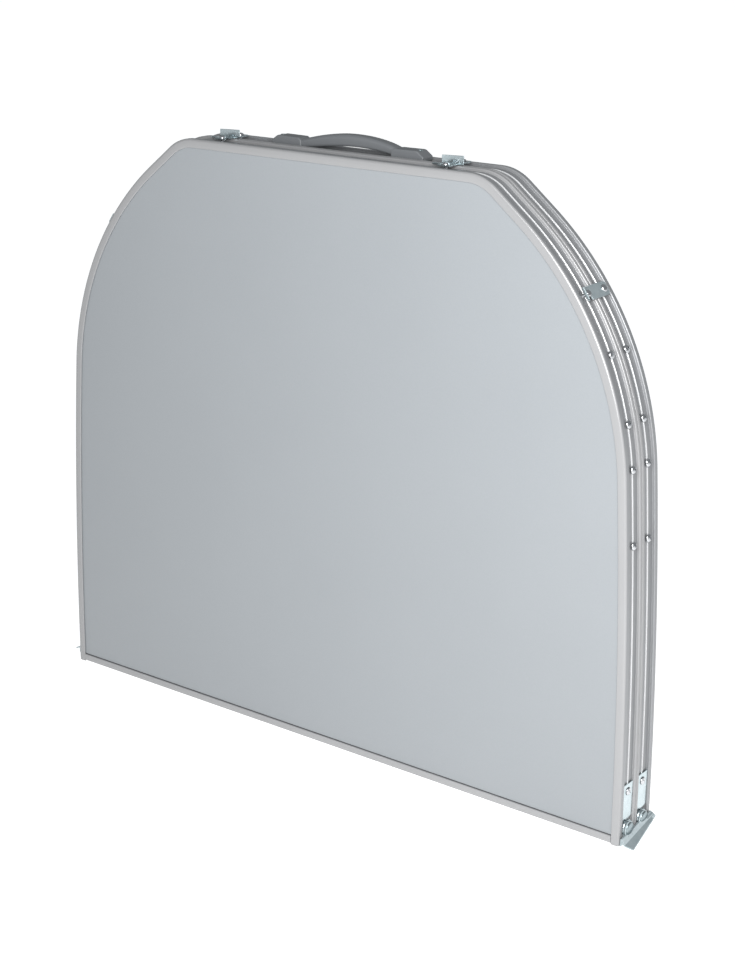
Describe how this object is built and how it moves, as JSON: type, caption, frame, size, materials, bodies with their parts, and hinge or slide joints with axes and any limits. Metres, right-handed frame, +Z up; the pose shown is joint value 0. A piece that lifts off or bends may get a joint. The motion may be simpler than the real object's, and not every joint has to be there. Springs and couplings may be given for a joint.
{
  "type": "suitcase folding table",
  "caption": "Suitcase-style folding camping table with rounded aluminium-framed halves, link hinges, latches, carrying handle and stowed legs.",
  "frame": {"origin": "centre of the folded case's bottom (hinge) edge, midway through its thickness", "axes": "+X along the hinge, +Y through the folded thickness towards the half that carries the handle, +Z up towards the flat end with the handle"},
  "size_m": [0.834, 0.067, 0.7075],
  "materials": {
    "panel_laminate": "satin",
    "anodised_aluminium": "satin anodised",
    "zinc_steel": "bright zinc plated",
    "bright_screw": "polished",
    "leg_aluminium": "satin",
    "grey_plastic": "fine texture",
    "black_plastic": "matte"
  },
  "bodies": {
    "hinge_links": {"hinge_link_bars": "zinc_steel", "hinge_pins": "bright_screw"},
    "front_half": {"front_panel": "panel_laminate", "front_edge_profile": "anodised_aluminium", "front_hinge_profile": "anodised_aluminium", "front_upper_crossbar": "leg_aluminium", "front_lower_crossbar": "leg_aluminium", "front_side_stiffeners": "leg_aluminium", "front_frame_screws": "bright_screw", "front_hinge_plates": "zinc_steel", "front_hinge_bushes": "zinc_steel", "front_hinge_screws": "bright_screw", "front_leg_brackets": "zinc_steel", "front_leg_pins": "bright_screw", "front_side_latch_studs": "bright_screw", "front_top_latch_studs": "bright_screw"},
    "front_upper_leg": {"front_upper_leg_tube": "leg_aluminium"},
    "front_upper_foot": {"front_upper_leg_extension": "leg_aluminium", "front_upper_leg_foot": "black_plastic"},
    "front_lower_leg": {"front_lower_leg_tube": "leg_aluminium"},
    "front_lower_foot": {"front_lower_leg_extension": "leg_aluminium", "front_lower_leg_foot": "black_plastic"},
    "rear_half": {"rear_panel": "panel_laminate", "rear_edge_profile": "anodised_aluminium", "rear_hinge_profile": "anodised_aluminium", "rear_upper_crossbar": "leg_aluminium", "rear_lower_crossbar": "leg_aluminium", "rear_side_stiffeners": "leg_aluminium", "rear_frame_screws": "bright_screw", "rear_hinge_plates": "zinc_steel", "rear_hinge_bushes": "zinc_steel", "rear_hinge_screws": "bright_screw", "rear_leg_brackets": "zinc_steel", "rear_leg_pins": "bright_screw", "rear_side_latch_rivets": "bright_screw", "rear_top_latch_rivets": "bright_screw", "handle_mounts": "grey_plastic", "handle_grip": "grey_plastic", "handle_screws": "bright_screw"},
    "rear_upper_leg": {"rear_upper_leg_tube": "leg_aluminium"},
    "rear_upper_foot": {"rear_upper_leg_extension": "leg_aluminium", "rear_upper_leg_foot": "black_plastic"},
    "rear_lower_leg": {"rear_lower_leg_tube": "leg_aluminium"},
    "rear_lower_foot": {"rear_lower_leg_extension": "leg_aluminium", "rear_lower_leg_foot": "black_plastic"},
    "side_latch_right_body": {"side_latch_right": "zinc_steel"},
    "side_latch_left_body": {"side_latch_left": "zinc_steel"},
    "top_latch_right_body": {"top_latch_right": "zinc_steel"},
    "top_latch_left_body": {"top_latch_left": "zinc_steel"}
  },
  "joints": [
    {"name": "front_fold", "type": "hinge", "parent": "hinge_links", "child": "front_half", "pos_m": [0, -0.0153, 0.015], "axis": [1, 0, 0], "range_deg": [0, 90]},
    {"name": "front_upper_leg_fold", "type": "hinge", "parent": "front_half", "child": "front_upper_leg", "pos_m": [0.297, -0.0132, 0.56], "axis": [0, 0, -1], "range_deg": [0, 90]},
    {"name": "front_upper_foot_slide", "type": "slide", "parent": "front_upper_leg", "child": "front_upper_foot", "axis": [-1, 0, 0], "range_m": [0, 0.1]},
    {"name": "front_lower_leg_fold", "type": "hinge", "parent": "front_half", "child": "front_lower_leg", "pos_m": [-0.297, -0.0132, 0.5], "axis": [0, 0, 1], "range_deg": [0, 90]},
    {"name": "front_lower_foot_slide", "type": "slide", "parent": "front_lower_leg", "child": "front_lower_foot", "axis": [1, 0, 0], "range_m": [0, 0.1]},
    {"name": "rear_fold", "type": "hinge", "parent": "hinge_links", "child": "rear_half", "pos_m": [0, 0.0153, 0.015], "axis": [-1, 0, 0], "range_deg": [0, 90]},
    {"name": "rear_upper_leg_fold", "type": "hinge", "parent": "rear_half", "child": "rear_upper_leg", "pos_m": [-0.297, 0.0132, 0.56], "axis": [0, 0, -1], "range_deg": [0, 90]},
    {"name": "rear_upper_foot_slide", "type": "slide", "parent": "rear_upper_leg", "child": "rear_upper_foot", "axis": [1, 0, 0], "range_m": [0, 0.1]},
    {"name": "rear_lower_leg_fold", "type": "hinge", "parent": "rear_half", "child": "rear_lower_leg", "pos_m": [0.297, 0.0132, 0.5], "axis": [0, 0, 1], "range_deg": [0, 90]},
    {"name": "rear_lower_foot_slide", "type": "slide", "parent": "rear_lower_leg", "child": "rear_lower_foot", "axis": [-1, 0, 0], "range_m": [0, 0.1]},
    {"name": "side_latch_right_turn", "type": "hinge", "parent": "rear_half", "child": "side_latch_right_body", "pos_m": [0.31997, 0.0153, 0.581], "axis": [-0.8141, 0, -0.5808], "range_deg": [0, 90]},
    {"name": "side_latch_left_turn", "type": "hinge", "parent": "rear_half", "child": "side_latch_left_body", "pos_m": [-0.31997, 0.0153, 0.581], "axis": [-0.8141, 0, 0.5808], "range_deg": [0, 90]},
    {"name": "top_latch_right_turn", "type": "hinge", "parent": "rear_half", "child": "top_latch_right_body", "pos_m": [0.147, 0.0153, 0.69], "axis": [0, 0, 1], "range_deg": [0, 90]},
    {"name": "top_latch_left_turn", "type": "hinge", "parent": "rear_half", "child": "top_latch_left_body", "pos_m": [-0.156, 0.0153, 0.69], "axis": [0, 0, -1], "range_deg": [0, 90]}
  ],
  "couplings": [
    {"joint": "rear_fold", "follows": "front_fold", "ratio": 1},
    {"joint": "front_upper_leg_fold", "follows": "front_fold", "ratio": 1},
    {"joint": "front_lower_leg_fold", "follows": "front_fold", "ratio": 1},
    {"joint": "rear_upper_leg_fold", "follows": "front_fold", "ratio": 1},
    {"joint": "rear_lower_leg_fold", "follows": "front_fold", "ratio": 1}
  ]
}
